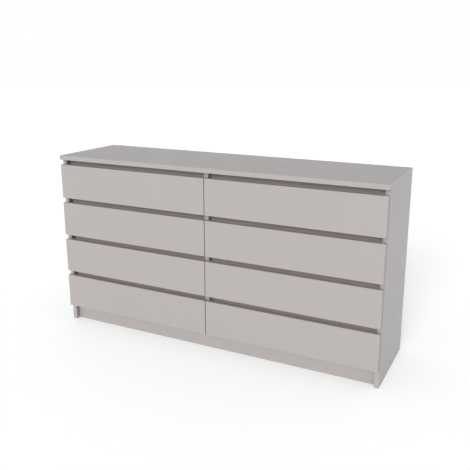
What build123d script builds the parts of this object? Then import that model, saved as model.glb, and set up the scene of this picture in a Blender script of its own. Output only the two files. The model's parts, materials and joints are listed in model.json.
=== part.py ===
from build123d import *

import os

# Low chest of eight drawers in two columns, built from faced chipboard.
#
# Millimetres. X runs across the front, the drawers pull out towards -Y, +Z is up.
# The origin is at the middle of the footprint, on the floor.
#
# The carcass is three uprights, a top, a base, a recessed plinth and eight cross rails behind
# the finger gaps. Each drawer is a box of grooved boards that hangs on two plastic runner
# strips, with an overlay front. A finger gap above every front takes the place of a handle.

# Overall size and board thicknesses
overall_width = 1400.0
overall_depth = 372.0
overall_height = 750.0
board = 18.0
front_board = 18.0
drawer_board = 16.0
hardboard = 3.0

# The face of the chest
rows = 4
finger_gap = 21.0
toe_height = 72.0
side_reveal = 3.0
front_seam = 3.0
front_air = 1.0

# Rails, base and plinth, measured from the carcass's front edge
rail_height = 40.0
rail_setback = 25.0
plinth_setback = 21.0
base_lap = 10.0
back_inset = 2.0
back_joint = 1.0

# Drawer boxes and the strips they slide on
side_gap = 3.0
box_lift = 14.0
box_headroom = 6.0
box_rear_gap = 26.0
strip_height = 17.0
strip_thickness = 10.0
strip_nose = 4.0
strip_end_gap = 6.0
strip_overrun = 1.0
strip_centre_up = 40.0
strip_roof_clearance = 0.3
strip_floor_clearance = 0.9
groove_depth = 8.0
bottom_up = 10.0
bottom_groove_depth = 6.0
bottom_end_clearance = 0.5
bottom_face_clearance = 0.2

# Drawer stops, screwed inside the box back so that they catch behind the cross rail
stop_width = 22.0
stop_thickness = 4.0
stop_grip = 22.0
stop_rise = 12.0
stop_spread = 200.0
stop_air = 1.0

# Cam fittings, dowels, screws and nails
hole_clearance = 0.1
end_clearance = 0.4
fitting_web = 1.2
cam_radius = 7.4
cam_depth = 12.0
cam_backset = 24.0
cam_slot_length = 9.6
cam_slot_width = 2.0
cam_slot_depth = 1.2
bolt_radius = 3.0
bolt_head_radius = 3.6
bolt_head_length = 3.0
bolt_thread_radius = 2.5
dowel_radius = 4.0
dowel_long = 20.0
confirmat_head_radius = 5.0
confirmat_head_depth = 4.0
confirmat_radius = 3.4
confirmat_length = 46.0
strip_screw_head_radius = 3.5
strip_screw_head_depth = 3.0
strip_screw_radius = 1.7
strip_screw_pitch = 120.0
stop_screw_length = 14.0
nail_head_radius = 2.4
nail_head_depth = 0.6
nail_radius = 0.8
nail_length = 18.0
nail_edge = 5.0
nail_pitch = 110.0

# Where the fittings sit along each joint
upright_fitting_inset = 62.0
dowel_offset = 32.0
rail_cam_up = 12.0
rail_dowel_down = 10.0
plinth_cam_up = 22.0
plinth_dowel_up = 46.0
box_cam_down = 16.0
box_dowel_up = 21.0
strip_screw_inset = 40.0

RIGHT, LEFT = (1, 0, 0), (-1, 0, 0)
BACK, FRONT = (0, 1, 0), (0, -1, 0)
UP, DOWN = (0, 0, 1), (0, 0, -1)

# Planes that several pieces share
front_y = -overall_depth / 2
front_back_y = front_y + front_board
carcass_y = front_back_y + front_air
sheet_y = overall_depth / 2 - hardboard
side_inner_x = overall_width / 2 - board
partition_x = board / 2
top_under_z = overall_height - board
row_pitch = (top_under_z - toe_height) / rows
front_height = row_pitch - finger_gap
base_top_z = toe_height + base_lap
base_under_z = base_top_z - board
rail_y = carcass_y + rail_setback
plinth_y = carcass_y + plinth_setback
box_height = row_pitch - rail_height - box_lift - box_headroom
box_y = front_back_y
box_rear_y = sheet_y - box_rear_gap
strip_y = carcass_y + strip_end_gap
strip_rear_y = box_rear_y + strip_overrun
front_width = overall_width / 2 - side_reveal - front_seam / 2
drawer_travel = box_rear_y - drawer_board - stop_thickness - (rail_y + board) - stop_air

# How deep a fitting may go into a face, when another comes from the board's other face
fitting_depth = (board - fitting_web) / 2 - end_clearance

row_bottoms = [toe_height + row_pitch * (rows - 1 - row) for row in range(rows)]
columns = {"left": -1, "right": 1}
fitting_ys = (carcass_y + upright_fitting_inset, sheet_y - upright_fitting_inset)


def slab(x, y, z):
    """A block between two values on each axis, in either order."""
    low = [min(pair) for pair in (x, y, z)]
    size = [abs(pair[1] - pair[0]) for pair in (x, y, z)]
    return Pos(*low) * Box(*size, align=(Align.MIN, Align.MIN, Align.MIN))


def rod(start, direction, radius, length, end_radius=None):
    """A cylinder, or a cone to end_radius, from start along direction."""
    seat = Plane(origin=start, z_dir=direction)
    align = (Align.CENTER, Align.CENTER, Align.MIN)
    if end_radius is None:
        return seat * Cylinder(radius, length, align=align)
    return seat * Cone(radius, end_radius, length, align=align)


def along(point, direction, distance):
    return tuple(p + d * distance for p, d in zip(point, direction))


def opposite(direction):
    return tuple(-d for d in direction)


def spaced(low, high, pitch):
    """Evenly spaced values from low to high, about pitch apart."""
    count = max(2, round((high - low) / pitch) + 1)
    return [low + (high - low) * i / (count - 1) for i in range(count)]


class Assembly:
    """Boards with the holes that their fittings need, and the fittings in named groups."""

    def __init__(self):
        self.boards = {}
        self.tools = {}
        self.groups = {}

    def add(self, name, solid):
        self.boards[name] = solid
        self.tools[name] = []

    def cut(self, name, *tools):
        self.tools[name].extend(tools)

    def fit(self, group, *solids):
        self.groups.setdefault(group, []).extend(solids)

    def finished(self):
        """Every node as a list of solids."""
        nodes = {name: [solid] for name, solid in self.boards.items()}
        for name, tools in self.tools.items():
            if tools:
                nodes[name] = list((nodes[name][0] - tools).solids())
        for name, solids in self.groups.items():
            nodes[name] = [s for solid in solids for s in solid.solids()]
        return nodes

    def cam_joint(self, group, housing, target, point, inward, face, thickness):
        """A cam in the housing board draws a bolt out of the target board.

        point is on the joint plane at mid thickness, inward runs into the housing, and
        face points to the side of the housing where the cam shows.
        """
        centre = along(point, inward, cam_backset)
        mouth = along(centre, face, thickness / 2)
        cam = rod(mouth, opposite(face), cam_radius, cam_depth)
        pocket_reach = cam_radius + end_clearance
        pocket = rod(centre, opposite(inward), bolt_head_radius + hole_clearance, pocket_reach)
        cam -= [pocket, *cam_slots(mouth, inward, face)]
        head_start = along(centre, inward, -end_clearance)
        head = rod(head_start, opposite(inward), bolt_head_radius, bolt_head_length)
        shaft_length = cam_backset - end_clearance - bolt_head_length
        shaft_start = along(head_start, inward, -bolt_head_length)
        shaft = rod(shaft_start, opposite(inward), bolt_radius, shaft_length)
        thread = rod(point, opposite(inward), bolt_thread_radius, fitting_depth)
        self.fit(group, cam, head + shaft + thread)
        cam_hole = rod(mouth, opposite(face), cam_radius + hole_clearance, cam_depth + end_clearance)
        bolt_hole = rod(point, inward, bolt_head_radius + hole_clearance, cam_backset)
        self.cut(housing, cam_hole, bolt_hole)
        thread_radius = bolt_thread_radius + hole_clearance
        self.cut(target, rod(point, opposite(inward), thread_radius, fitting_depth + end_clearance))

    def dowel(self, group, deep, shallow, point, inward):
        """A dowel across a joint, its long end in the deep board."""
        start = along(point, inward, -fitting_depth)
        self.fit(group, rod(start, inward, dowel_radius, fitting_depth + dowel_long))
        hole = dowel_radius + hole_clearance
        self.cut(deep, rod(point, inward, hole, dowel_long + end_clearance))
        self.cut(shallow, rod(point, opposite(inward), hole, fitting_depth + end_clearance))

    def screw(self, group, through, into, start, direction, head, shank, length, head_depth):
        """A countersunk screw or nail, flush at start, through one board into another."""
        neck = along(start, direction, head_depth)
        shank_rod = rod(neck, direction, shank, length - head_depth)
        self.fit(group, rod(start, direction, head, head_depth, shank) + shank_rod)
        wide = hole_clearance
        sink = rod(start, direction, head + wide, head_depth, shank + wide)
        bore = rod(neck, direction, shank + wide, length - head_depth + end_clearance)
        self.cut(through, sink, bore)
        self.cut(into, bore)


def cam_slots(mouth, inward, face):
    """The cross recess in the cam's visible end."""
    across = Plane(origin=mouth, x_dir=inward, z_dir=opposite(face))
    align = (Align.CENTER, Align.CENTER, Align.MIN)
    first = across * Box(cam_slot_length, cam_slot_width, cam_slot_depth, align=align)
    second = across * Box(cam_slot_width, cam_slot_length, cam_slot_depth, align=align)
    return first, second


def add_carcass_boards(chest):
    """Top, uprights, base, plinth and its middle support."""
    half = overall_width / 2
    chest.add("top_panel", slab((-half, half), (front_y, sheet_y), (top_under_z, overall_height)))
    for name, sign in columns.items():
        x = (sign * side_inner_x, sign * half)
        chest.add(f"{name}_side_panel", slab(x, (carcass_y, sheet_y), (0, top_under_z)))
    middle = (-partition_x, partition_x)
    chest.add("centre_partition", slab(middle, (carcass_y, sheet_y), (base_top_z, top_under_z)))
    inside = (-side_inner_x, side_inner_x)
    chest.add("base_panel", slab(inside, (carcass_y, sheet_y), (base_under_z, base_top_z)))
    chest.add("plinth_board", slab(inside, (plinth_y, plinth_y + board), (0, base_under_z)))
    chest.add("plinth_support", slab(middle, (plinth_y + board, sheet_y), (0, base_under_z)))


def join_carcass_boards(chest):
    """Cams and dowels hold the uprights to the top, the base to the sides and the plinth."""
    group = "carcass_fixings"
    uprights = {
        "left_side_panel": (-side_inner_x - board / 2, RIGHT),
        "right_side_panel": (side_inner_x + board / 2, LEFT),
        "centre_partition": (0, RIGHT),
    }
    for y, step in zip(fitting_ys, (dowel_offset, -dowel_offset)):
        for name, (x, face) in uprights.items():
            chest.cam_joint(group, name, "top_panel", (x, y, top_under_z), DOWN, face, board)
            chest.dowel(group, name, "top_panel", (x, y + step, top_under_z), DOWN)
        mid_z = base_under_z + board / 2
        for name, sign in columns.items():
            x = sign * side_inner_x
            inward = (-sign, 0, 0)
            target = f"{name}_side_panel"
            chest.cam_joint(group, "base_panel", target, (x, y, mid_z), inward, DOWN, board)
            chest.dowel(group, "base_panel", target, (x, y + step, mid_z), inward)
        chest.dowel(group, "centre_partition", "base_panel", (0, y + step, base_top_z), UP)
        chest.dowel(group, "plinth_support", "base_panel", (0, y + step, base_under_z), DOWN)
        chest.screw(
            group, "base_panel", "centre_partition", (0, y, base_under_z), UP,
            confirmat_head_radius, confirmat_radius, confirmat_length, confirmat_head_depth,
        )
    plinth_mid_y = plinth_y + board / 2
    for name, sign in columns.items():
        ends = (sign * side_inner_x, plinth_mid_y)
        inward = (-sign, 0, 0)
        target = f"{name}_side_panel"
        cam_point = (*ends, plinth_cam_up)
        chest.cam_joint(group, "plinth_board", target, cam_point, inward, BACK, board)
        chest.dowel(group, "plinth_board", target, (*ends, plinth_dowel_up), inward)
    meet_y = plinth_y + board
    support = ("plinth_support", "plinth_board")
    chest.cam_joint(group, *support, (0, meet_y, plinth_cam_up), BACK, RIGHT, board)
    chest.dowel(group, *support, (0, meet_y, plinth_dowel_up), BACK)


def add_cross_rails(chest):
    """One rail behind each finger gap, from a side panel to the partition."""
    rail_mid_y = rail_y + board / 2
    rails = {}
    for row, bottom in enumerate(row_bottoms, 1):
        rail_top = bottom + row_pitch
        rail_z = rail_top - rail_height
        for name, sign in columns.items():
            rail = f"rail_{name}_{row}"
            x = (sign * partition_x, sign * side_inner_x)
            chest.add(rail, slab(x, (rail_y, rail_y + board), (rail_z, rail_top)))
            rails[rail] = "cross_rails"
            ends = {"centre_partition": (x[0], (sign, 0, 0))}
            ends[f"{name}_side_panel"] = (x[1], (-sign, 0, 0))
            for target, (end_x, inward) in ends.items():
                cam_point = (end_x, rail_mid_y, rail_z + rail_cam_up)
                dowel_point = (end_x, rail_mid_y, rail_top - rail_dowel_down)
                chest.cam_joint("carcass_fixings", rail, target, cam_point, inward, BACK, board)
                chest.dowel("carcass_fixings", rail, target, dowel_point, inward)
    return rails


def strip_centre_z(bottom):
    return bottom + box_lift + strip_centre_up


def add_runner_strips(chest):
    """Two strips for each drawer, screwed to the faces of the uprights."""
    strips = {}
    for row, bottom in enumerate(row_bottoms, 1):
        z = strip_centre_z(bottom)
        height = (z - strip_height / 2, z + strip_height / 2)
        for name, sign in columns.items():
            walls = {
                "centre_partition": (sign * partition_x, sign),
                f"{name}_side_panel": (sign * side_inner_x, -sign),
            }
            for wall, (x, outward) in walls.items():
                strip = f"strip_{name}_{wall}_{row}"
                face_x = x + outward * strip_thickness
                block = slab((x, face_x), (strip_y, strip_rear_y), height)
                tip_edges = block.edges().filter_by(Axis.X).group_by(Axis.Y)[0]
                chest.add(strip, chamfer(tip_edges, strip_nose))
                strips[strip] = "drawer_runners"
                first_y, last_y = strip_y + strip_screw_inset, strip_rear_y - strip_screw_inset
                for y in spaced(first_y, last_y, strip_screw_pitch):
                    chest.screw(
                        "carcass_fixings", strip, wall, (face_x, y, z), (-outward, 0, 0),
                        strip_screw_head_radius, strip_screw_radius,
                        strip_thickness + fitting_depth, strip_screw_head_depth,
                    )
    return strips


def add_back_sheets(chest):
    """Two hardboard sheets that meet behind the partition, nailed all round."""
    outer_x = overall_width / 2 - back_inset
    low_z = base_under_z + back_inset
    high_z = overall_height - back_inset
    for name, sign in columns.items():
        sheet = f"back_panel_{name}"
        x = (sign * back_joint / 2, sign * outer_x)
        chest.add(sheet, slab(x, (sheet_y, sheet_y + hardboard), (low_z, high_z)))
        nails = []
        for z in spaced(low_z + nail_pitch / 2, high_z - nail_pitch / 2, nail_pitch):
            nails.append((f"{name}_side_panel", sign * (outer_x - nail_edge), z))
            nails.append(("centre_partition", sign * nail_edge, z))
        for x_nail in spaced(nail_pitch / 2, outer_x - nail_pitch / 2, nail_pitch):
            nails.append(("top_panel", sign * x_nail, high_z - nail_edge))
            nails.append(("base_panel", sign * x_nail, low_z + nail_edge))
        for target, nail_x, nail_z in nails:
            chest.screw(
                "carcass_fixings", sheet, target, (nail_x, sheet_y + hardboard, nail_z), FRONT,
                nail_head_radius, nail_radius, nail_length, nail_head_depth,
            )


def box_bounds(sign):
    """The drawer box's outer faces in X, from the partition outwards."""
    return sign * (partition_x + side_gap), sign * (side_inner_x - side_gap)


def drawer(name, sign):
    """One drawer whose front stands on Z = 0: five boards and their fixings."""
    unit = Assembly()
    parts = {part: f"{name}_{part}" for part in (
        "front", "left_side", "right_side", "back", "bottom", "fixings")}
    inner_x, outer_x = box_bounds(sign)
    left_x, right_x = sorted((inner_x, outer_x))
    low, high = box_lift, box_lift + box_height
    front_x = (sign * front_seam / 2, sign * (front_seam / 2 + front_width))
    unit.add(parts["front"], slab(front_x, (front_y, front_back_y), (0, front_height)))
    unit.add(parts["left_side"], slab((left_x, left_x + drawer_board), (box_y, box_rear_y), (low, high)))
    unit.add(parts["right_side"], slab((right_x - drawer_board, right_x), (box_y, box_rear_y), (low, high)))
    back_x = (left_x + drawer_board, right_x - drawer_board)
    back_y = (box_rear_y - drawer_board, box_rear_y)
    bottom_z = low + bottom_up
    sheet_top_z = bottom_z + hardboard
    unit.add(parts["back"], slab(back_x, back_y, (sheet_top_z, high)))
    reach = bottom_groove_depth - bottom_end_clearance
    sheet_x = (back_x[0] - reach, back_x[1] + reach)
    unit.add(parts["bottom"], slab(sheet_x, (front_back_y - reach, box_rear_y), (bottom_z, sheet_top_z)))
    cut_drawer_grooves(unit, parts, left_x, right_x, bottom_z)
    join_drawer(unit, parts, left_x, right_x)
    add_drawer_stops(unit, parts, (left_x + right_x) / 2)
    return unit.finished()


def cut_drawer_grooves(unit, parts, left_x, right_x, bottom_z):
    """Runner grooves outside, and the groove that takes the drawer's bottom inside."""
    z = strip_centre_z(0)
    runner_z = (
        z - strip_height / 2 - strip_floor_clearance,
        z + strip_height / 2 + strip_roof_clearance,
    )
    length = (box_y, box_rear_y)
    unit.cut(parts["left_side"], slab((left_x, left_x + groove_depth), length, runner_z))
    unit.cut(parts["right_side"], slab((right_x - groove_depth, right_x), length, runner_z))
    slot_z = (bottom_z - bottom_face_clearance, bottom_z + hardboard + bottom_face_clearance)
    inner_left = left_x + drawer_board
    inner_right = right_x - drawer_board
    unit.cut(parts["left_side"], slab((inner_left - bottom_groove_depth, inner_left), length, slot_z))
    unit.cut(parts["right_side"], slab((inner_right, inner_right + bottom_groove_depth), length, slot_z))
    slot_x = (inner_left - bottom_groove_depth, inner_right + bottom_groove_depth)
    slot_y = (front_back_y - bottom_groove_depth, front_back_y)
    unit.cut(parts["front"], slab(slot_x, slot_y, slot_z))


def join_drawer(unit, parts, left_x, right_x):
    """Cam and dowel at the front corners, screws at the back ones, nails under the back."""
    group = parts["fixings"]
    cam_z = box_lift + box_height - box_cam_down
    dowel_z = box_lift + box_dowel_up
    half = drawer_board / 2
    back_mid_y = box_rear_y - half
    corners = {"left_side": (left_x, RIGHT), "right_side": (right_x, LEFT)}
    for side, (x, face) in corners.items():
        mid_x = x + face[0] * half
        point = (mid_x, front_back_y)
        names = (parts[side], parts["front"])
        unit.cam_joint(group, *names, (*point, cam_z), BACK, face, drawer_board)
        unit.dowel(group, *names, (*point, dowel_z), BACK)
        for z in (cam_z, dowel_z):
            unit.screw(
                group, parts[side], parts["back"], (x, back_mid_y, z), face,
                confirmat_head_radius, confirmat_radius, confirmat_length, confirmat_head_depth,
            )
    under_z = box_lift + bottom_up
    for x in spaced(left_x + nail_pitch, right_x - nail_pitch, nail_pitch):
        unit.screw(
            group, parts["bottom"], parts["back"], (x, back_mid_y, under_z), UP,
            nail_head_radius, nail_radius, nail_length, nail_head_depth,
        )


def add_drawer_stops(unit, parts, middle_x):
    """Two tabs on the inner face of the box back, standing up behind the cross rail's path."""
    group = parts["fixings"]
    top_z = box_lift + box_height
    face_y = box_rear_y - drawer_board
    half = stop_width / 2
    for x in (middle_x - stop_spread, middle_x + stop_spread):
        tab_name = f"stop_{x:.0f}"
        tab_y = (face_y - stop_thickness, face_y)
        tab = slab((x - half, x + half), tab_y, (top_z - stop_grip, top_z + stop_rise))
        unit.add(tab_name, tab)
        screw_start = (x, tab_y[0], top_z - stop_grip / 2)
        unit.screw(
            group, tab_name, parts["back"], screw_start, BACK,
            strip_screw_head_radius, strip_screw_radius, stop_screw_length, strip_screw_head_depth,
        )


def gathered(nodes, members):
    """Moves the solids of the listed pieces into the group node that holds them."""
    for piece, group in members.items():
        nodes.setdefault(group, []).extend(nodes.pop(piece))
    return nodes


def carcass_nodes():
    chest = Assembly()
    add_carcass_boards(chest)
    join_carcass_boards(chest)
    members = add_cross_rails(chest)
    members |= add_runner_strips(chest)
    add_back_sheets(chest)
    return gathered(chest.finished(), members)


def drawer_nodes():
    """Both columns' drawers, built once each and repeated up the rows."""
    nodes = {}
    for column, sign in columns.items():
        name = f"drawer_{column}"
        first = drawer(name, sign)
        stops = [piece for piece in first if piece.startswith("stop_")]
        first = gathered(first, {piece: f"{name}_fixings" for piece in stops})
        for row, bottom in enumerate(row_bottoms, 1):
            for piece, solids in first.items():
                part = piece.removeprefix(f"{name}_")
                nodes[f"{name}_{row}_{part}"] = [Pos(0, 0, bottom) * s for s in solids]
    return nodes


nodes = carcass_nodes() | drawer_nodes()
os.makedirs("parts", exist_ok=True)
for node_name, node_solids in nodes.items():
    shape = node_solids[0] if len(node_solids) == 1 else Compound(children=node_solids)
    export_step(shape, f"parts/{node_name}.step")
print(f"{len(nodes)} nodes, {sum(len(s) for s in nodes.values())} solids")
print(f"drawer travel {drawer_travel:.1f}, box height {box_height:.1f}")
print(f"drawer front {front_width:.1f} x {front_height:.1f}")
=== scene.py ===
import json
import math

import bmesh
import bpy
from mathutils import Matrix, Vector


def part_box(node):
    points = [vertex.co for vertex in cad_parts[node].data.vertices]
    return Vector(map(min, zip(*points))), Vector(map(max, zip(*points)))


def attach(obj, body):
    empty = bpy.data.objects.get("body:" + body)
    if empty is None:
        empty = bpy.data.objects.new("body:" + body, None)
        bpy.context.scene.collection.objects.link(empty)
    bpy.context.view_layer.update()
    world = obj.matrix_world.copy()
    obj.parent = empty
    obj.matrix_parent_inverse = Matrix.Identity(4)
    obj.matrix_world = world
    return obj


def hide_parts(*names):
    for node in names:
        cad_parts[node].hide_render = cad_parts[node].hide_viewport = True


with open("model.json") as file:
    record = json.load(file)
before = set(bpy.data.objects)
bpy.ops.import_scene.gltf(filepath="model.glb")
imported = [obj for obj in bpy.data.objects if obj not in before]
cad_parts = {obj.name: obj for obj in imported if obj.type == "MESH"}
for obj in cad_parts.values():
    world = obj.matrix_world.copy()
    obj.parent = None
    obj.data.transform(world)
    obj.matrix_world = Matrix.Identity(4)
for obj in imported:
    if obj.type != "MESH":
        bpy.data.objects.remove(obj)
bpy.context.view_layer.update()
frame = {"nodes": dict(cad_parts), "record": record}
bodies = frame["record"]["behaviour"]["bodies"]
drawerNames = sorted(body for body in bodies if body.startswith("drawer_"))

mm = 0.001
axisOf = {"X": 0, "Y": 1, "Z": 2}


class MaterialBench:
    def __init__(self, name):
        self.material = bpy.data.materials.new(name)
        self.material.use_nodes = True
        self.nodes = self.material.node_tree.nodes
        self.links = self.material.node_tree.links
        self.nodes.clear()
        output = self.add("ShaderNodeOutputMaterial")
        self.shader = self.add("ShaderNodeBsdfPrincipled")
        self.links.new(self.shader.outputs["BSDF"], output.inputs["Surface"])
        self.place = self.add("ShaderNodeTexCoord").outputs["Object"]

    def add(self, kind, **settings):
        node = self.nodes.new(kind)
        for key, value in settings.items():
            setattr(node, key, value)
        return node

    def join(self, source, target):
        self.links.new(source, target)

    # the pattern drawn out or squeezed along an axis
    def stretched(self, scale):
        mapping = self.add("ShaderNodeMapping")
        mapping.inputs["Scale"].default_value = scale
        self.join(self.place, mapping.inputs["Vector"])
        return mapping.outputs["Vector"]

    def noise(self, size, detail=3.0, place=None, roughness=0.5):
        noise = self.add("ShaderNodeTexNoise")
        noise.inputs["Scale"].default_value = 1 / size
        noise.inputs["Detail"].default_value = detail
        noise.inputs["Roughness"].default_value = roughness
        self.join(place or self.place, noise.inputs["Vector"])
        return noise.outputs["Fac"]

    def cells(self, size, output="Distance", feature="F1", place=None):
        cells = self.add("ShaderNodeTexVoronoi", feature=feature)
        cells.inputs["Scale"].default_value = 1 / size
        self.join(place or self.place, cells.inputs["Vector"])
        return cells.outputs[output]

    def spread(self, value, low, high, inLow=0.3, inHigh=0.7):
        spread = self.add("ShaderNodeMapRange")
        spread.inputs["From Min"].default_value = inLow
        spread.inputs["From Max"].default_value = inHigh
        spread.inputs["To Min"].default_value = low
        spread.inputs["To Max"].default_value = high
        self.join(value, spread.inputs["Value"])
        return spread.outputs["Result"]

    def blend(self, amount, first, second):
        mix = self.add("ShaderNodeMix", data_type="RGBA")
        for socket, value in ((mix.inputs[6], first), (mix.inputs[7], second)):
            if isinstance(value, bpy.types.NodeSocket):
                self.join(value, socket)
            else:
                socket.default_value = (*value, 1)
        self.join(amount, mix.inputs[0])
        return mix.outputs[2]

    def raised(self, height, distance, below=None):
        bump = self.add("ShaderNodeBump")
        bump.inputs["Distance"].default_value = distance
        self.join(height, bump.inputs["Height"])
        if below:
            self.join(below, bump.inputs["Normal"])
        return bump.outputs["Normal"]

    def finished(self, colour, roughness, normal, **fixed):
        self.join(colour, self.shader.inputs["Base Color"])
        self.join(roughness, self.shader.inputs["Roughness"])
        self.join(normal, self.shader.inputs["Normal"])
        for key, value in fixed.items():
            self.shader.inputs[key.replace("_", " ")].default_value = value
        return self.material


def lighter(tone, amount):
    return tuple(channel * (1 + amount) for channel in tone)


# warm light grey resin facing, with a fine matt pearl pressed into it; on the rails warmer and
# browner, which is painted warm bounce light in the shaded gaps between the fronts
facing = {
    "tone": (0.366, 0.349, 0.350),
    # painted warm bounce light: the rails stand in shade behind the fronts, so their facing is
    # given a warmer, browner tone
    "railPaintedBounceTone": (0.380, 0.342, 0.328),
    "toneSpread": 0.006,
    "cloudSize": 0.35,
    "fleckTone": -0.035,
    "fleckShare": 0.35,
    "fleckReach": (0.15, 0.75),
    "pearlSize": 0.0011,
    "pearlHeight": 0.00005,
    "roughness": (0.42, 0.47),
    "specular": 0.40,
}


def facingMaterial(name, faceTone):
    bench = MaterialBench(name)
    clouds = bench.noise(facing["cloudSize"], 2)
    tone = bench.blend(
        bench.spread(clouds, 0, 1),
        lighter(faceTone, -facing["toneSpread"]),
        lighter(faceTone, facing["toneSpread"]),
    )
    pearls = bench.cells(facing["pearlSize"], feature="SMOOTH_F1")
    flecks = bench.spread(pearls, facing["fleckShare"], 0, *facing["fleckReach"])
    tone = bench.blend(flecks, tone, lighter(faceTone, facing["fleckTone"]))
    wiped = bench.noise(facing["cloudSize"] / 3, 4)
    return bench.finished(
        tone, bench.spread(wiped, *facing["roughness"]),
        bench.raised(pearls, facing["pearlHeight"]),
        Specular_IOR_Level=facing["specular"],
    )


# 1 mm plastic band glued to the board's edges: the facing's own colour, drawn lengthways
band = {
    "tone": (0.366, 0.349, 0.350),
    "toneSpread": (-0.008, 0.004),
    "cloudSize": 0.3,
    "lineSize": 0.0009,
    "lineStretch": 30,
    "lineHeight": 0.00001,
    "roughness": (0.40, 0.45),
    "specular": 0.40,
}


def bandMaterial():
    bench = MaterialBench("edgeBand")
    lines = bench.noise(band["lineSize"], 2, bench.stretched((1 / band["lineStretch"], 1, 1)))
    cloud = bench.noise(band["cloudSize"], 2)
    darkest, lightest = (lighter(band["tone"], amount) for amount in band["toneSpread"])
    tone = bench.blend(bench.spread(cloud, 0, 1), darkest, lightest)
    return bench.finished(
        tone, bench.spread(lines, *band["roughness"]), bench.raised(lines, band["lineHeight"]),
        Specular_IOR_Level=band["specular"],
    )


# paper foil round the drawer boxes, with a very fine printed grain along each board
foil = {
    "tone": (0.50, 0.485, 0.47),
    "darkTone": (0.455, 0.44, 0.425),
    "grainSize": 0.0016,
    "grainStretch": 30,
    "grainShare": 0.55,
    "grainHeight": 0.00003,
    "cloudSize": 0.15,
    "cloudShare": 0.25,
    "cloudTone": 0.05,
    "roughness": (0.46, 0.56),
}


def foilMaterial(name, along):
    bench = MaterialBench(name)
    squeeze = [1.0, 1.0, 1.0]
    squeeze[axisOf[along]] = 1 / foil["grainStretch"]
    grain = bench.noise(foil["grainSize"], 5, bench.stretched(squeeze), 0.6)
    cloud = bench.noise(foil["cloudSize"], 2)
    printed = bench.spread(grain, 0, foil["grainShare"], 0.35, 0.7)
    tone = bench.blend(printed, foil["tone"], foil["darkTone"])
    faded = bench.spread(cloud, 0, foil["cloudShare"])
    tone = bench.blend(faded, tone, lighter(foil["tone"], foil["cloudTone"]))
    return bench.finished(
        tone, bench.spread(grain, *foil["roughness"]), bench.raised(grain, foil["grainHeight"]))


# the chips inside a board, where an edge or a bore is left raw
chipboard = {
    "paleChip": (0.50, 0.36, 0.215),
    "darkChip": (0.235, 0.145, 0.08),
    "dustTone": (0.39, 0.27, 0.155),
    "chipSize": 0.0035,
    "chipStretch": (0.45, 0.6, 1.3),
    "chipHeight": 0.0004,
    "dustHeight": 0.0002,
    "roughness": (0.75, 0.92),
}


def chipboardMaterial():
    bench = MaterialBench("chipboard")
    drawn = bench.stretched(chipboard["chipStretch"])
    chips = bench.cells(chipboard["chipSize"], "Color", place=drawn)
    split = bench.add("ShaderNodeSeparateColor")
    bench.join(chips, split.inputs["Color"])
    dust = bench.noise(chipboard["chipSize"] / 5, 5, roughness=0.7)
    tone = bench.blend(split.outputs["Red"], chipboard["paleChip"], chipboard["darkChip"])
    tone = bench.blend(bench.spread(dust, 0, 1), tone, chipboard["dustTone"])
    rims = bench.cells(chipboard["chipSize"], "Distance", "DISTANCE_TO_EDGE", drawn)
    dusty = bench.raised(dust, chipboard["dustHeight"])
    normal = bench.raised(rims, chipboard["chipHeight"], dusty)
    return bench.finished(tone, bench.spread(dust, *chipboard["roughness"]), normal)


# pressed fibre sheet, its raw side
fibreboard = {
    "paleTone": (0.30, 0.185, 0.105),
    "darkTone": (0.205, 0.122, 0.066),
    "threadTone": (0.40, 0.25, 0.14),
    "fibreSize": 0.0009,
    "blotchSize": 0.06,
    "blotchShare": 0.3,
    "threadShare": 0.18,
    "height": 0.00012,
    "roughness": (0.55, 0.75),
}


def fibreboardMaterial():
    bench = MaterialBench("fibreboard")
    fibres = bench.noise(fibreboard["fibreSize"], 6, roughness=0.7)
    blotches = bench.noise(fibreboard["blotchSize"], 3)
    threads = bench.cells(fibreboard["fibreSize"] * 4, place=bench.stretched((0.4, 1, 1)))
    tone = bench.blend(bench.spread(fibres, 0, 1), fibreboard["paleTone"], fibreboard["darkTone"])
    stained = bench.spread(blotches, 0, fibreboard["blotchShare"])
    tone = bench.blend(stained, tone, fibreboard["darkTone"])
    showing = bench.spread(threads, fibreboard["threadShare"], 0, 0.1, 0.5)
    tone = bench.blend(showing, tone, fibreboard["threadTone"])
    normal = bench.raised(fibres, fibreboard["height"])
    return bench.finished(tone, bench.spread(fibres, *fibreboard["roughness"]), normal)


# white moulded plastic of the runner strips and the drawer stops
nylon = {
    "tone": (0.70, 0.695, 0.67),
    "flowTone": -0.06,
    "flowSize": 0.02,
    "grainSize": 0.0008,
    "grainHeight": 0.00004,
    "roughness": (0.32, 0.42),
    "subsurface": 0.12,
    "subsurfaceReach": 0.002,
}


def nylonMaterial():
    bench = MaterialBench("nylon")
    flow = bench.noise(nylon["flowSize"], 3, bench.stretched((1, 0.2, 1)))
    grain = bench.noise(nylon["grainSize"], 3)
    tone = bench.blend(
        bench.spread(flow, 0, 1), nylon["tone"], lighter(nylon["tone"], nylon["flowTone"]))
    return bench.finished(
        tone, bench.spread(grain, *nylon["roughness"]), bench.raised(grain, nylon["grainHeight"]),
        Subsurface_Weight=nylon["subsurface"], Subsurface_Scale=nylon["subsurfaceReach"],
    )


# zinc plate on the screws, bolts and nails
zincPlate = {
    "tone": (0.62, 0.62, 0.60),
    "stainTone": (0.53, 0.56, 0.58),
    "grainSize": 0.0006,
    "grainHeight": 0.00003,
    "roughness": (0.22, 0.40),
}

# die-cast metal of the cams
castZinc = {
    "tone": (0.52, 0.52, 0.53),
    "stainTone": (0.43, 0.43, 0.44),
    "grainSize": 0.0005,
    "grainHeight": 0.00006,
    "roughness": (0.38, 0.55),
}


def metalMaterial(name, metal):
    bench = MaterialBench(name)
    grain = bench.noise(metal["grainSize"], 4, roughness=0.65)
    stain = bench.noise(metal["grainSize"] * 9, 2)
    tone = bench.blend(bench.spread(stain, 0, 1), metal["tone"], metal["stainTone"])
    normal = bench.raised(grain, metal["grainHeight"])
    return bench.finished(tone, bench.spread(grain, *metal["roughness"]), normal, Metallic=1.0)


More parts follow.
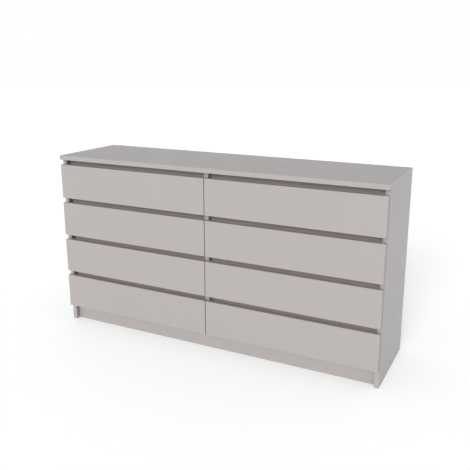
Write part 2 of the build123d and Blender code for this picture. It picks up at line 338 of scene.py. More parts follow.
# beech of the dowels
beech = {
    "paleTone": (0.62, 0.42, 0.25),
    "darkTone": (0.46, 0.29, 0.16),
    "grainSize": 0.0012,
    "grainHeight": 0.0001,
    "roughness": (0.55, 0.68),
}


def beechMaterial():
    bench = MaterialBench("beech")
    grain = bench.noise(beech["grainSize"], 4)
    flecks = bench.noise(beech["grainSize"] / 2, 2)
    tone = bench.blend(bench.spread(grain, 0, 1), beech["paleTone"], beech["darkTone"])
    tone = bench.blend(bench.spread(flecks, 0, 0.3, 0.55, 0.8), tone, beech["darkTone"])
    normal = bench.raised(grain, beech["grainHeight"])
    return bench.finished(tone, bench.spread(grain, *beech["roughness"]), normal)


# cloudy clear silicone of the bumpers
silicone = {
    "tone": (0.80, 0.80, 0.78),
    "transmission": 0.6,
    "ior": 1.41,
    "speckSize": 0.0007,
    "speckTone": -0.04,
    "speckHeight": 0.00003,
    "roughness": (0.18, 0.30),
}


def siliconeMaterial():
    bench = MaterialBench("silicone")
    specks = bench.noise(silicone["speckSize"], 2)
    cloudy = lighter(silicone["tone"], silicone["speckTone"])
    tone = bench.blend(bench.spread(specks, 0, 1), silicone["tone"], cloudy)
    return bench.finished(
        tone, bench.spread(specks, *silicone["roughness"]),
        bench.raised(specks, silicone["speckHeight"]),
        Transmission_Weight=silicone["transmission"], IOR=silicone["ior"],
    )


facingMat = facingMaterial("facing", facing["tone"])
# the rails' copy of the facing, tinted with painted warm bounce light for the shaded gaps
railPaintedBounceMat = facingMaterial("railFacingPaintedBounce", facing["railPaintedBounceTone"])
bandMat = bandMaterial()
foilAlongX = foilMaterial("foilAlongX", "X")
foilAlongY = foilMaterial("foilAlongY", "Y")
chipMat = chipboardMaterial()
fibreMat = fibreboardMaterial()
nylonMat = nylonMaterial()
zincMat = metalMaterial("zincPlate", zincPlate)
castMat = metalMaterial("castZinc", castZinc)
beechMat = beechMaterial()
siliconeMat = siliconeMaterial()
print("materials made")


# how the edges of boards and strips are finished
edging = {"bandThickness": 1.0 * mm, "bandRadius": 0.5 * mm, "stripRadius": 1.2 * mm, "steps": 3}

# how closely points, planes and sizes have to agree when a node's mesh is read
reading = {
    "merge": 1e-6,
    "flatWithin": 0.5,  # degrees
    "onEdge": 2e-6,
    "onSkin": 1e-5,
    "facing": 0.99,  # how squarely a skin's faces look along the thin axis
    "bandReach": 1.01,
    "sizeWithin": 0.3,  # mm
}

# thin: the axis across the board; banded: the edges that carry a band; crisp: a face whose
# edges stay sharp
carcassBoards = {
    "top_panel": {"thin": "Z", "banded": ["-Y", "-X", "+X"]},
    "left_side_panel": {"thin": "X", "banded": ["-Y"]},
    "right_side_panel": {"thin": "X", "banded": ["-Y"]},
    "centre_partition": {"thin": "X", "banded": ["-Y"]},
    "base_panel": {"thin": "Z", "banded": ["-Y"]},
    "plinth_board": {"thin": "Y", "banded": []},
    "plinth_support": {"thin": "X", "banded": []},
    "cross_rails": {"thin": "Y", "banded": ["-Z"]},
}
drawerBoards = {
    "front": {"thin": "Y", "banded": ["-X", "+X", "-Z", "+Z"], "crisp": ["+Y"]},
    "left_side": {"thin": "X", "banded": ["+Z"]},
    "right_side": {"thin": "X", "banded": ["+Z"]},
    "back": {"thin": "Y", "banded": ["+Z"]},
}
backSheet = {"thin": "Y", "banded": []}
bottomSheet = {"thin": "Z", "banded": []}
runnerStrip = {"thin": "X", "banded": [], "rounded": ["-Z", "+Z", "-Y", "+Y"]}
stopTab = {"thin": "Y", "banded": [], "rounded": ["-Z", "+Z"], "size": (4, 22, 34)}


# a node's triangles merged into whole faces
def nodeCopy(node):
    shape = bmesh.new()
    shape.from_mesh(frame["nodes"][node].data)
    bmesh.ops.remove_doubles(shape, verts=shape.verts, dist=reading["merge"])
    bmesh.ops.dissolve_limit(
        shape, angle_limit=math.radians(reading["flatWithin"]), use_dissolve_boundaries=False,
        verts=shape.verts, edges=shape.edges,
    )
    shape.verts.index_update()
    return shape


# the separate solids of a node, as sets of vertices
def solidsOf(shape):
    solids = []
    seen = set()
    for start in shape.verts:
        if start in seen:
            continue
        seen.add(start)
        solid, queue = set(), [start]
        while queue:
            vert = queue.pop()
            solid.add(vert)
            for edge in vert.link_edges:
                other = edge.other_vert(vert)
                if other not in seen:
                    seen.add(other)
                    queue.append(other)
        solids.append(solid)
    return solids


def boxOf(verts):
    low = Vector([min(vert.co[i] for vert in verts) for i in range(3)])
    high = Vector([max(vert.co[i] for vert in verts) for i in range(3)])
    return low, high


# the size is in mm, its smallest number first
def sizeIs(verts, size):
    low, high = boxOf(verts)
    return all(abs(a / mm - b) < reading["sizeWithin"] for a, b in zip(sorted(high - low), size))


def soloCopy(shape, solid):
    solo = shape.copy()
    solo.verts.ensure_lookup_table()
    others = [solo.verts[vert.index] for vert in shape.verts if vert not in solid]
    bmesh.ops.delete(solo, geom=others, context="VERTS")
    return solo


# a side such as "-Y" as its axis, its outward sign and its place on that axis
def sidePlane(side, low, high):
    axis = axisOf[side[1]]
    outward = 1 if side[0] == "+" else -1
    return axis, outward, (high if outward > 0 else low)[axis]


# rounds the box edges of the named sides, apart from those on a crisp side
def roundSides(shape, sides, crisp, radius):
    low, high = boxOf(shape.verts)
    planes = [sidePlane(end + letter, low, high) for end in "-+" for letter in "XYZ"]
    chosen = [sidePlane(side, low, high) for side in sides]
    sharp = [sidePlane(side, low, high) for side in crisp]
    edges = []
    for edge in shape.edges:
        onPlane = [
            plane for plane in planes
            if all(abs(vert.co[plane[0]] - plane[2]) < reading["onEdge"] for vert in edge.verts)
        ]
        wanted = any(plane in chosen for plane in onPlane)
        if len(onPlane) == 2 and wanted and not any(plane in sharp for plane in onPlane):
            edges.append(edge)
    bmesh.ops.bevel(
        shape, geom=edges, offset=radius, offset_type="OFFSET", segments=edging["steps"],
        profile=0.5, affect="EDGES", clamp_overlap=False,
    )


# a face's finish by its slot: 0 and 1 the board's two skins, 2 the band, 3 the core
def assignFinishes(shape, thin, low, high, banded):
    reach = edging["bandThickness"] * reading["bandReach"]
    for face in shape.faces:
        centre = face.calc_center_median()
        corner = face.verts[0].co[thin]
        nearBand = any(abs(centre[axis] - at) < reach for axis, outward, at in banded)
        flat = abs(face.normal[thin]) > reading["facing"]
        offSkin = min(abs(corner - low[thin]), abs(corner - high[thin]))
        onSkin = flat and offSkin < reading["onSkin"]
        if nearBand:
            face.material_index = 2
        elif onSkin:
            face.material_index = 0 if face.normal[thin] > 0 else 1
        else:
            face.material_index = 3


def shapeBoard(board, spec):
    low, high = boxOf(board.verts)
    banded = [sidePlane(side, low, high) for side in spec["banded"]]
    for axis, outward, at in banded:
        cut = Vector()
        cut[axis] = at - outward * edging["bandThickness"]
        normal = Vector()
        normal[axis] = 1
        bmesh.ops.bisect_plane(
            board, geom=board.verts[:] + board.edges[:] + board.faces[:],
            plane_co=cut, plane_no=normal, dist=reading["merge"] / 10,
        )
    if banded:
        roundSides(board, spec["banded"], spec.get("crisp", []), edging["bandRadius"])
    if "rounded" in spec:
        roundSides(board, spec["rounded"], [], edging["stripRadius"])
    assignFinishes(board, axisOf[spec["thin"]], low, high, banded)


def makePiece(name, mesh, body, node):
    piece = bpy.data.objects.new(name, mesh)
    bpy.context.scene.collection.objects.link(piece)
    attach(piece, body)
    if node:
        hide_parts(node)
    return piece


def makeBoard(name, node, body, spec, finishes):
    source = nodeCopy(node)
    joined = bmesh.new()
    for solid in solidsOf(source):
        if "size" in spec and not sizeIs(solid, spec["size"]):
            continue
        board = soloCopy(source, solid)
        shapeBoard(board, spec)
        part = bpy.data.meshes.new("part")
        board.to_mesh(part)
        joined.from_mesh(part)
        bpy.data.meshes.remove(part)
        board.free()
    mesh = bpy.data.meshes.new(name)
    joined.to_mesh(mesh)
    joined.free()
    source.free()
    for material in finishes:
        mesh.materials.append(material)
    return makePiece(name, mesh, body, node)


allFaced = (facingMat, facingMat, bandMat, chipMat)
railPaintedBounceFaced = (railPaintedBounceMat, railPaintedBounceMat, bandMat, chipMat)
foilWrapped = {
    "left_side": (foilAlongY, foilAlongY, foilAlongY, chipMat),
    "right_side": (foilAlongY, foilAlongY, foilAlongY, chipMat),
    "back": (foilAlongX, foilAlongX, foilAlongX, chipMat),
}
allNylon = (nylonMat,) * 4

for node, spec in carcassBoards.items():
    # the cross rails get the facing with painted warm bounce light
    finishes = railPaintedBounceFaced if node == "cross_rails" else allFaced
    makeBoard(node + "Board", node, "carcass", spec, finishes)
for side in ("left", "right"):
    node = f"back_panel_{side}"
    finishes = (fibreMat, foilAlongX, fibreMat, fibreMat)
    makeBoard(node + "Sheet", node, "carcass", backSheet, finishes)
print("carcass boards made")

for drawer in drawerNames:
    for part, spec in drawerBoards.items():
        finishes = foilWrapped.get(part, allFaced)
        makeBoard(f"{drawer}_{part}Board", f"{drawer}_{part}", drawer, spec, finishes)
    finishes = (foilAlongX, fibreMat, fibreMat, fibreMat)
    makeBoard(
        f"{drawer}_bottomSheet", f"{drawer}_bottom", drawer, bottomSheet, finishes)
print("drawer boxes made")

makeBoard(
    "drawer_runnerStrips", "drawer_runners", "carcass", runnerStrip, allNylon)
for drawer in drawerNames:
    makeBoard(
        f"{drawer}_stopTabs", f"{drawer}_fixings", drawer, stopTab, allNylon)
print("runner strips and stops made")


# how turned pieces are closed and shaded
turning = {
    "step": 0.15 * mm,  # how far a shoulder takes from one radius to the next
    "crispAbove": 32,  # degrees between two faces
    "round": 1.0,  # a star as wide at its waist as at its points is a circle
}


class TreeBench:
    def __init__(self, name, inputs):
        self.tree = bpy.data.node_groups.new(name, "GeometryNodeTree")
        sockets = self.tree.interface
        sockets.new_socket("Geometry", in_out="OUTPUT", socket_type="NodeSocketGeometry")
        sockets.new_socket("Geometry", in_out="INPUT", socket_type="NodeSocketGeometry")
        for label, kind in inputs.items():
            sockets.new_socket(label, in_out="INPUT", socket_type="NodeSocket" + kind)
        self.source = self.add("NodeGroupInput")
        self.sizes = self.source.outputs

    # makes a node, and joins or sets the inputs that are named
    def add(self, kind, inputs=None, **settings):
        node = self.tree.nodes.new(kind)
        for key, value in settings.items():
            setattr(node, key, value)
        for key, value in (inputs or {}).items():
            socket = node.inputs[key]
            if isinstance(value, bpy.types.NodeSocket):
                self.tree.links.new(value, socket)
            else:
                socket.default_value = value
        return node

    def calc(self, operation, first, second):
        return self.add("ShaderNodeMath", {0: first, 1: second}, operation=operation).outputs[0]

    def point(self, x, y, z):
        return self.add("ShaderNodeCombineXYZ", {"X": x, "Y": y, "Z": z}).outputs[0]

    # one ring of a turned shape: how far down its axis, and how wide
    def ring(self, depth, radius):
        place = self.point(0.0, 0.0, depth)
        return self.add(
            "GeometryNodePoints", {"Count": 1, "Position": place, "Radius": radius}).outputs[0]

    # rings up and down between two radii, for a thread
    def threadRings(self, start, end, pitch, crest, root):
        half = self.calc("MULTIPLY", pitch, 0.5)
        turns = self.calc("DIVIDE", self.calc("SUBTRACT", end, start), half)
        count = self.calc("ROUND", turns, 0.0)
        index = self.add("GeometryNodeInputIndex").outputs[0]
        odd = self.calc("MODULO", index, 2.0)
        depth = self.calc("ADD", start, self.calc("MULTIPLY", half, index))
        height = self.calc("MULTIPLY", self.calc("SUBTRACT", crest, root), odd)
        inputs = {
            "Count": count, "Position": self.point(0.0, 0.0, depth),
            "Radius": self.calc("ADD", root, height),
        }
        return self.add("GeometryNodePoints", inputs).outputs[0]

    def together(self, *shapes):
        join = self.add("GeometryNodeJoinGeometry")
        for shape in shapes:
            self.tree.links.new(shape, join.inputs[0])
        return join.outputs[0]

    def starCurve(self, points, waist=turning["round"], reach=turning["round"]):
        inputs = {"Points": points, "Inner Radius": waist, "Outer Radius": reach}
        return self.add("GeometryNodeCurveStar", inputs).outputs[0]

    # the rings skinned with a profile of radius 1
    def turned(self, profile, *rings):
        place = self.add("GeometryNodeInputPosition").outputs[0]
        depth = self.add("ShaderNodeSeparateXYZ", {0: place}).outputs["Z"]
        points = self.together(*rings)
        curve = self.add("GeometryNodePointsToCurves", {"Points": points, "Weight": depth})
        radius = self.add("GeometryNodeInputRadius").outputs[0]
        return self.add("GeometryNodeCurveToMesh", {
            "Curve": curve.outputs[0], "Profile Curve": profile, "Scale": radius,
            "Fill Caps": True,
        }).outputs[0]

    def cutOut(self, shape, tool):
        cut = self.add("GeometryNodeMeshBoolean", {"Mesh 1": shape}, operation="DIFFERENCE")
        self.tree.links.new(tool, cut.inputs["Mesh 2"])
        return cut.outputs[0]

    def named(self, label, kind):
        node = self.add("GeometryNodeInputNamedAttribute", {"Name": label}, data_type=kind)
        return node.outputs["Attribute"]

    def eitherOf(self, choice, plain, changed):
        switch = self.add("GeometryNodeSwitch", {"Switch": choice}, input_type="GEOMETRY")
        self.tree.links.new(plain, switch.inputs["False"])
        self.tree.links.new(changed, switch.inputs["True"])
        return switch.outputs[0]

    # smooth round the axis, crisp at the corners
    def shaded(self, shape):
        smooth = self.add("GeometryNodeSetShadeSmooth", {"Geometry": shape}).outputs[0]
        angle = self.add("GeometryNodeInputMeshEdgeAngle").outputs["Unsigned Angle"]
        corner = self.calc("GREATER_THAN", angle, math.radians(turning["crispAbove"]))
        inputs = {"Geometry": smooth, "Selection": corner, "Shade Smooth": False}
        return self.add("GeometryNodeSetShadeSmooth", inputs, domain="EDGE").outputs[0]

    # one of the shape at each host point of this kind, which is then real mesh
    def finish(self, shape, rotation):
        host = self.sizes["Geometry"]
        same = self.add(
            "FunctionNodeCompare", {2: self.named("kind", "INT"), 3: self.sizes["Kind"]},
            data_type="INT", operation="EQUAL").outputs[0]
        placed = self.add("GeometryNodeInstanceOnPoints", {
            "Points": host, "Selection": same, "Instance": self.shaded(shape),
            "Rotation": rotation,
        }).outputs[0]
        real = self.add("GeometryNodeRealizeInstances", {"Geometry": placed}).outputs[0]
        inputs = {"Geometry": real, "Material": self.sizes["Material"]}
        done = self.add("GeometryNodeSetMaterial", inputs).outputs[0]
        self.add("NodeGroupOutput", {"Geometry": self.together(host, done)})
        return self.tree

    # the shape's axis along the point's aim, turned at random about it
    def twisted(self):
        aim = self.named("aim", "FLOAT_VECTOR")
        aligned = self.add("FunctionNodeAlignRotationToVector", {"Vector": aim}, axis="Z")
        turn = self.add(
            "FunctionNodeRandomValue", {2: 0.0, 3: math.tau, "Seed": self.sizes["Seed"]},
            data_type="FLOAT").outputs[1]
        spin = self.add("FunctionNodeAxisAngleToRotation", {"Axis": (0, 0, 1), "Angle": turn})
        inputs = {"Rotation": aligned.outputs[0], "Rotate By": spin.outputs[0]}
        turned = self.add("FunctionNodeRotateRotation", inputs, rotation_space="LOCAL")
        return turned.outputs[0]

    # the shape's axis along the aim, and its X side towards the point's side
    def squared(self):
        inputs = {0: self.named("aim", "FLOAT_VECTOR"), 1: self.named("side", "FLOAT_VECTOR")}
        return self.add(
            "FunctionNodeAxesToRotation", inputs, primary_axis="Z", secondary_axis="X").outputs[0]


screwInputs = {
    "Kind": "Int", "Length": "Float", "Head Radius": "Float", "Head Edge": "Float",
    "Head Depth": "Float", "Under Head": "Float", "Neck Radius": "Float", "Neck End": "Float",
    "Collar Radius": "Float", "Collar End": "Float", "Thread Radius": "Float",
    "Core Radius": "Float", "Thread Pitch": "Float", "Tip Length": "Float", "Tip Radius": "Float",
    "Sides": "Int", "Recess Points": "Int", "Recess Waist": "Float", "Recess Reach": "Float",
    "Recess Depth": "Float", "Seed": "Int", "Material": "Material",
}


# head, neck, collar, thread and tip, all turned in one piece, with a driver recess
def screwTree():
    bench = TreeBench("turnedScrew", screwInputs)
    size = bench.sizes
    step = turning["step"]
    driverTaper = 0.7  # how much narrower the driver's recess is at its floor
    headFace = bench.calc("SUBTRACT", size["Head Radius"], size["Head Edge"])
    threadEnd = bench.calc("SUBTRACT", size["Length"], size["Tip Length"])
    threadStart = bench.calc("ADD", size["Collar End"], step * 2)
    body = bench.turned(
        bench.starCurve(size["Sides"]),
        bench.ring(0.0, headFace),
        bench.ring(size["Head Edge"], size["Head Radius"]),
        bench.ring(size["Head Depth"], size["Under Head"]),
        bench.ring(bench.calc("ADD", size["Head Depth"], step), size["Neck Radius"]),
        bench.ring(size["Neck End"], size["Neck Radius"]),
        bench.ring(bench.calc("ADD", size["Neck End"], step), size["Collar Radius"]),
        bench.ring(size["Collar End"], size["Collar Radius"]),
        bench.threadRings(
            threadStart, threadEnd, size["Thread Pitch"], size["Thread Radius"],
            size["Core Radius"]),
        bench.ring(size["Length"], size["Tip Radius"]),
    )
    star = bench.starCurve(size["Recess Points"], size["Recess Waist"], size["Recess Reach"])
    cutter = bench.turned(
        star, bench.ring(-step, 1.0), bench.ring(size["Recess Depth"], driverTaper))
    hasRecess = bench.calc("GREATER_THAN", size["Recess Depth"], 0.0)
    shape = bench.eitherOf(hasRecess, body, bench.cutOut(body, cutter))
    return bench.finish(shape, bench.twisted())


dowelInputs = {
    "Kind": "Int", "Length": "Float", "Radius": "Float", "Chamfer": "Float", "Flutes": "Int",
    "Flute Depth": "Float", "Seed": "Int", "Material": "Material",
}


# a fluted dowel with chamfered ends
def dowelTree():
    bench = TreeBench("flutedDowel", dowelInputs)
    size = bench.sizes
    valley = bench.calc("SUBTRACT", 1.0, bench.calc("DIVIDE", size["Flute Depth"], size["Radius"]))
    endShare = 0.78  # how wide a chamfered end is, of the dowel's radius
    endRadius = bench.calc("MULTIPLY", size["Radius"], endShare)
    shape = bench.turned(
        bench.starCurve(size["Flutes"], valley),
        bench.ring(0.0, endRadius),
        bench.ring(size["Chamfer"], size["Radius"]),
        bench.ring(bench.calc("SUBTRACT", size["Length"], size["Chamfer"]), size["Radius"]),
        bench.ring(size["Length"], endRadius),
    )
    return bench.finish(shape, bench.twisted())


camInputs = {
    "Kind": "Int", "Depth": "Float", "Radius": "Float", "Edge": "Float", "Sides": "Int",
    "Recess Waist": "Float", "Recess Reach": "Float", "Recess Depth": "Float",
    "Pocket Radius": "Float", "Pocket Level": "Float", "Material": "Material",
}


# a cam with a cross recess in its face and a pocket in its side for the bolt's head
def camTree():
    bench = TreeBench("lockingCam", camInputs)
    size = bench.sizes
    crossTaper, crossLead = 0.8, 0.1 * mm
    pocketShare, pocketSides = 1.1, 14  # the pocket's drill goes just past the cam's rim
    faceRadius = bench.calc("SUBTRACT", size["Radius"], size["Edge"])
    body = bench.turned(
        bench.starCurve(size["Sides"]),
        bench.ring(0.0, faceRadius),
        bench.ring(size["Edge"], size["Radius"]),
        bench.ring(bench.calc("SUBTRACT", size["Depth"], size["Edge"]), size["Radius"]),
        bench.ring(size["Depth"], faceRadius),
    )
    cross = bench.turned(
        bench.starCurve(4, size["Recess Waist"], size["Recess Reach"]),
        bench.ring(-crossLead, 1.0), bench.ring(size["Recess Depth"], crossTaper),
    )
    reach = bench.calc("MULTIPLY", size["Radius"], pocketShare)
    rod = bench.add("GeometryNodeMeshCylinder", {
        "Vertices": pocketSides, "Radius": size["Pocket Radius"], "Depth": reach,
    }).outputs[0]
    halfway = bench.calc("MULTIPLY", reach, 0.5)
    pocket = bench.add("GeometryNodeTransform", {
        "Geometry": rod, "Rotation": (0, math.pi / 2, 0),
        "Translation": bench.point(halfway, 0.0, size["Pocket Level"]),
    }).outputs[0]
    shape = bench.cutOut(bench.cutOut(body, cross), pocket)
    return bench.finish(shape, bench.squared())


padInputs = {
    "Kind": "Int", "Radius": "Float", "Height": "Float", "Sides": "Int", "Seed": "Int",
    "Material": "Material",
}


# the pad's rings, as shares of its height and radius
padProfile = [(0.0, 1.0), (0.6, 0.97), (0.9, 0.8), (1.0, 0.5)]


# a low round pad with a softened rim
def padTree():
    bench = TreeBench("roundPad", padInputs)
    size = bench.sizes
    rings = []
    for up, out in padProfile:
        height = bench.calc("MULTIPLY", size["Height"], up)
        rings.append(bench.ring(height, bench.calc("MULTIPLY", size["Radius"], out)))
    shape = bench.turned(bench.starCurve(size["Sides"]), *rings)
    return bench.finish(shape, bench.twisted())


# the cams turn a quarter turn on the heads of the bolts
cam = {
    "size": (12, 14.8, 14.8),
    "slotFloor": 1.2 * mm,  # how deep the driver's slot is in the cam of the frame
    "inputs": {
        "Depth": 12 * mm, "Radius": 7.4 * mm, "Edge": 0.4 * mm, "Sides": 14,
        "Recess Waist": 1.3 * mm, "Recess Reach": 4.9 * mm, "Recess Depth": 2.2 * mm,
        "Pocket Radius": 3.7 * mm, "Pocket Level": 9 * mm, "Material": castMat,
    },
}
bolt = {
    "size": (7.2, 7.2, 31.6),
    "inputs": {
        "Length": 31.6 * mm, "Head Radius": 3.6 * mm, "Head Edge": 0.8 * mm,
        "Head Depth": 3 * mm, "Under Head": 3 * mm, "Neck Radius": 2 * mm, "Neck End": 6.6 * mm,
        "Collar Radius": 3 * mm, "Collar End": 23.6 * mm, "Thread Radius": 2.5 * mm,
        "Core Radius": 1.9 * mm, "Thread Pitch": 1.6 * mm, "Tip Length": 1.2 * mm,
        "Tip Radius": 1.4 * mm, "Sides": 6, "Recess Points": 4, "Recess Waist": 0.5 * mm,
        "Recess Reach": 1 * mm, "Recess Depth": 0.0, "Seed": 3, "Material": zincMat,
    },
}
dowel = {
    "size": (8, 8, 28),
    "inputs": {
        "Length": 28 * mm, "Radius": 4 * mm, "Chamfer": 1.2 * mm, "Flutes": 12,
        "Flute Depth": 0.35 * mm, "Seed": 5, "Material": beechMat,
    },
}
confirmat = {
    "size": (10, 10, 46),
    "inputs": {
        "Length": 46 * mm, "Head Radius": 5 * mm, "Head Edge": 0.3 * mm, "Head Depth": 4 * mm,
        "Under Head": 3.5 * mm, "Neck Radius": 3.4 * mm, "Neck End": 11 * mm,
        "Collar Radius": 3.1 * mm, "Collar End": 13 * mm, "Thread Radius": 3.4 * mm,
        "Core Radius": 2.5 * mm, "Thread Pitch": 3.2 * mm, "Tip Length": 3 * mm,
        "Tip Radius": 1.2 * mm, "Sides": 7, "Recess Points": 3, "Recess Waist": 2.4 * mm,
        "Recess Reach": 2.4 * mm, "Recess Depth": 2.8 * mm, "Seed": 7, "Material": zincMat,
    },
}
stripScrew = {
    "size": (7, 7, 18),
    "inputs": {
        "Length": 18 * mm, "Head Radius": 3.5 * mm, "Head Edge": 0.2 * mm, "Head Depth": 3 * mm,
        "Under Head": 1.7 * mm, "Neck Radius": 1.5 * mm, "Neck End": 4.4 * mm,
        "Collar Radius": 1.3 * mm, "Collar End": 4.8 * mm, "Thread Radius": 1.7 * mm,
        "Core Radius": 1.15 * mm, "Thread Pitch": 1.8 * mm, "Tip Length": 3 * mm,
        "Tip Radius": 0.2 * mm, "Sides": 6, "Recess Points": 4, "Recess Waist": 0.5 * mm,
        "Recess Reach": 2 * mm, "Recess Depth": 1.6 * mm, "Seed": 11, "Material": zincMat,
    },
}
stopScrew = {
    "size": (7, 7, 14),
    "inputs": {**stripScrew["inputs"], "Length": 14 * mm, "Seed": 13},
}
nail = {
    "size": (4.8, 4.8, 18),
    "inputs": {
        "Length": 18 * mm, "Head Radius": 2.4 * mm, "Head Edge": 0.2 * mm,
        "Head Depth": 0.6 * mm, "Under Head": 1.6 * mm, "Neck Radius": 0.8 * mm,
        "Neck End": 3.5 * mm, "Collar Radius": 0.76 * mm, "Collar End": 4 * mm,
        "Thread Radius": 0.8 * mm, "Core Radius": 0.7 * mm, "Thread Pitch": 1.6 * mm,
        "Tip Length": 2 * mm, "Tip Radius": 0.1 * mm, "Sides": 4, "Recess Points": 4,
        "Recess Waist": 0.5 * mm, "Recess Reach": 1 * mm, "Recess Depth": 0.0, "Seed": 17,
        "Material": zincMat,
    },
}
bumper = {
    "upFromEdge": 22 * mm,
    "inputs": {
        "Radius": 3.3 * mm, "Height": 0.9 * mm, "Sides": 10, "Seed": 19, "Material": siliconeMat,
    },
}

turnedScrew = screwTree()
flutedDowel = dowelTree()
lockingCam = camTree()
roundPad = padTree()
fixingKinds = [
    (lockingCam, cam), (turnedScrew, bolt), (flutedDowel, dowel), (turnedScrew, confirmat),
    (turnedScrew, stripScrew), (turnedScrew, stopScrew), (turnedScrew, nail),
]


# where a fixing's face is, which way it goes in, and its kind's number
def readFixing(solid):
    low, high = boxOf(solid)
    size = high - low
    for number, (tree, kind) in enumerate(fixingKinds):
        if sizeIs(solid, kind["size"]):
            break
    else:
        return None
    middle = sorted(size)[1]
    axis = max(range(3), key=lambda i: abs(size[i] - middle))
    depths = [vert.co[axis] - low[axis] for vert in solid]
    if kind is cam:
        fromLow = [depth - cam["slotFloor"] for depth in depths]
        fromHigh = [size[axis] - depth - cam["slotFloor"] for depth in depths]
        atLow, atHigh = (sum(abs(gap) < 0.1 * mm for gap in gaps) for gaps in (fromLow, fromHigh))
        facesLow = atLow > atHigh
    else:
        facesLow = sum(depths) / len(depths) < size[axis] / 2
    place = (low + high) / 2
    place[axis] = (low if facesLow else high)[axis]
    aim = Vector()
    aim[axis] = 1 if facesLow else -1
    return number, place, aim


# a cam's pocket looks along the bolt whose head it holds
def pocketSide(place, aim, fixings):
    centre = place + aim * cam["inputs"]["Pocket Level"]
    bolts = [(spot, way) for number, spot, way in fixings if fixingKinds[number][1] is bolt]
    return min(bolts, key=lambda found: (found[0] - centre).length)[1]


def hostPoints(name, points):
    mesh = bpy.data.meshes.new(name)
    mesh.from_pydata([place for number, place, aim, side in points], [], [])
    kinds = mesh.attributes.new("kind", "INT", "POINT")
    aims = mesh.attributes.new("aim", "FLOAT_VECTOR", "POINT")
    sides = mesh.attributes.new("side", "FLOAT_VECTOR", "POINT")
    for i, (number, place, aim, side) in enumerate(points):
        kinds.data[i].value = number
        aims.data[i].vector = aim
        sides.data[i].vector = side
    host = bpy.data.objects.new(name, mesh)
    bpy.context.scene.collection.objects.link(host)
    return host


def setInputs(host, tree, values):
    modifier = host.modifiers.new(tree.name, "NODES")
    modifier.node_group = tree
    for socket in tree.interface.items_tree:
        if socket.in_out == "INPUT" and socket.name in values:
            modifier[socket.identifier] = values[socket.name]


# the host's modifiers turned into one plain mesh, without the host points
def plainMesh(host, name):
    graph = bpy.context.evaluated_depsgraph_get()
    mesh = bpy.data.meshes.new_from_object(host.evaluated_get(graph), depsgraph=graph)
    mesh.name = name
    for label in ("kind", "aim", "side"):
        if label in mesh.attributes:
            mesh.attributes.remove(mesh.attributes[label])
    shape = bmesh.new()
    shape.from_mesh(mesh)
    loose = [vert for vert in shape.verts if not vert.link_faces]
    bmesh.ops.delete(shape, geom=loose, context="VERTS")
    shape.to_mesh(mesh)
    shape.free()
    host.modifiers.clear()
    bpy.data.objects.remove(host)
    return mesh


def makeFixings(node, body):
    source = nodeCopy(node)
    fixings = [found for found in map(readFixing, solidsOf(source)) if found]
    source.free()
    points = []
    for number, place, aim in fixings:
        isCam = fixingKinds[number][1] is cam
        points.append((number, place, aim, pocketSide(place, aim, fixings) if isCam else aim))
    name = f"{body}_fixingSet"
    host = hostPoints(name + "Points", points)
    for number, (tree, kind) in enumerate(fixingKinds):
        if any(point[0] == number for point in points):
            setInputs(host, tree, {**kind["inputs"], "Kind": number})
    makePiece(name, plainMesh(host, name), body, node)
    return len(points)


counts = [makeFixings("carcass_fixings", "carcass")]
counts += [makeFixings(f"{drawer}_fixings", drawer) for drawer in drawerNames]
print("fixings made:", counts)


# pads on the uprights' front edges, behind each drawer front
def makeBumpers():
    uprights = [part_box(n) for n in ("left_side_panel", "centre_partition", "right_side_panel")]
    points = []
    for drawer in drawerNames:
        frontLow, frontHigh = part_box(f"{drawer}_front")
        for edgeLow, edgeHigh in uprights:
            left, right = max(edgeLow[0], frontLow[0]), min(edgeHigh[0], frontHigh[0])
            if left > right:
                continue
            for z in (frontLow[2] + bumper["upFromEdge"], frontHigh[2] - bumper["upFromEdge"]):
                place = Vector(((left + right) / 2, edgeLow[1], z))
                points.append((0, place, Vector((0, -1, 0)), Vector((0, 0, 1))))
    host = hostPoints("bumperPoints", points)
    setInputs(host, roundPad, {**bumper["inputs"], "Kind": 0})
    makePiece("carcass_bumpers", plainMesh(host, "carcass_bumpers"), "carcass", None)


makeBumpers()
print("bumpers made")


studioCamera = {
    "place": (1.1356, -2.1881, 1.1543),
    "tilt": 75.583,
    "turn": 26.606,
    "lens": 47.471,
    "sensor": 36.0,
    "shiftUp": -0.0396,
    "sight": 60,
}


def makeCamera():
    data = bpy.data.cameras.new("studioCamera")
    data.lens = studioCamera["lens"]
    data.sensor_width = studioCamera["sensor"]
    data.shift_y = studioCamera["shiftUp"]
    data.clip_end = studioCamera["sight"]
    rig = bpy.data.objects.new("studioCamera", data)
    rig.location = studioCamera["place"]
    tilt, turn = math.radians(studioCamera["tilt"]), math.radians(studioCamera["turn"])
    rig.rotation_euler = (tilt, 0, turn)
    bpy.context.scene.collection.objects.link(rig)
    bpy.context.scene.camera = rig


# a broad soft key from the front, in degrees, and its strength in watts a square metre
keyLight = {
    "toTheRight": 5.0,
    "up": 25.0,
    "softness": 21.0,
    "power": 1.57,
    "tint": (1.0, 0.924, 0.834),
    "place": (0.3, -4.0, 2.0),
}


def makeKeyLight():
    data = bpy.data.lights.new("keyLight", "SUN")
    data.energy = keyLight["power"]
    data.color = keyLight["tint"]
    data.angle = math.radians(keyLight["softness"])
    lamp = bpy.data.objects.new("keyLight", data)
    tilt = math.radians(90 - keyLight["up"])
    lamp.rotation_euler = (tilt, 0, math.radians(keyLight["toTheRight"]))
    lamp.location = keyLight["place"]
    bpy.context.scene.collection.objects.link(lamp)


# a white sweep that glows a little, so that it stays white where the light falls off
studioFloor = {
    "tone": (0.97, 0.96, 0.96),
    "toneSpread": -0.01,
    "unevenSize": 1.4,
    "unevenHeight": 0.0002,
    "roughness": (0.55, 0.65),
    "specular": 0.1,
    "glow": 0.208,
    "glowTint": (0.78, 0.93, 1.0),
    "radius": 24,
    "sides": 96,
}


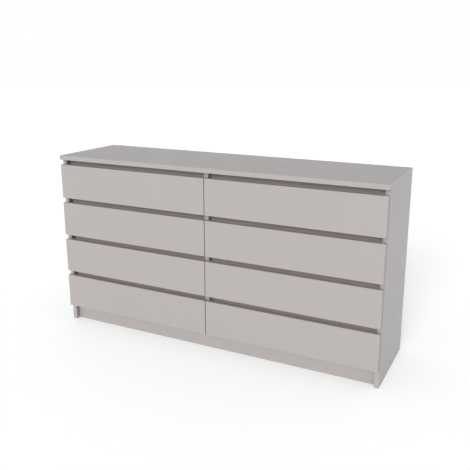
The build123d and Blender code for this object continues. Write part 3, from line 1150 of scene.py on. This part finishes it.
def makeFloor():
    bench = MaterialBench("studioFloor")
    uneven = bench.noise(studioFloor["unevenSize"], 2)
    darker = lighter(studioFloor["tone"], studioFloor["toneSpread"])
    tone = bench.blend(bench.spread(uneven, 0, 1), studioFloor["tone"], darker)
    material = bench.finished(
        tone, bench.spread(uneven, *studioFloor["roughness"]),
        bench.raised(uneven, studioFloor["unevenHeight"]),
        Specular_IOR_Level=studioFloor["specular"], Emission_Color=(*studioFloor["glowTint"], 1),
        Emission_Strength=studioFloor["glow"],
    )
    shape = bmesh.new()
    bmesh.ops.create_circle(
        shape, cap_ends=True, segments=studioFloor["sides"], radius=studioFloor["radius"])
    data = bpy.data.meshes.new("studioFloor")
    shape.to_mesh(data)
    shape.free()
    data.materials.append(material)
    floor = bpy.data.objects.new("studioFloor", data)
    bpy.context.scene.collection.objects.link(floor)


# white round the horizon, as a studio's walls are, and dimmer overhead
studioSky = {
    "wallTone": (1.0, 1.0, 1.0),
    "ceilingTone": (0.635, 0.640, 0.648),
    "wallTop": 16.0,
    "ceilingFrom": 30.0,
    "strength": 1.0,
}


def makeSky():
    world = bpy.data.worlds.new("studioSky")
    world.use_nodes = True
    nodes, links = world.node_tree.nodes, world.node_tree.links
    direction = nodes.new("ShaderNodeTexCoord")
    split = nodes.new("ShaderNodeSeparateXYZ")
    rise = nodes.new("ShaderNodeMapRange")
    rise.inputs["From Min"].default_value = math.sin(math.radians(studioSky["wallTop"]))
    rise.inputs["From Max"].default_value = math.sin(math.radians(studioSky["ceilingFrom"]))
    mix = nodes.new("ShaderNodeMix")
    mix.data_type = "RGBA"
    mix.inputs[6].default_value = (*studioSky["wallTone"], 1)
    mix.inputs[7].default_value = (*studioSky["ceilingTone"], 1)
    back = nodes["Background"]
    back.inputs["Strength"].default_value = studioSky["strength"]
    links.new(direction.outputs["Generated"], split.inputs["Vector"])
    links.new(split.outputs["Z"], rise.inputs["Value"])
    links.new(rise.outputs["Result"], mix.inputs[0])
    links.new(mix.outputs[2], back.inputs["Color"])
    bpy.context.scene.world = world


makeCamera()
makeKeyLight()
makeFloor()
makeSky()
bpy.context.scene.view_settings.view_transform = "Standard"
print("studio set")
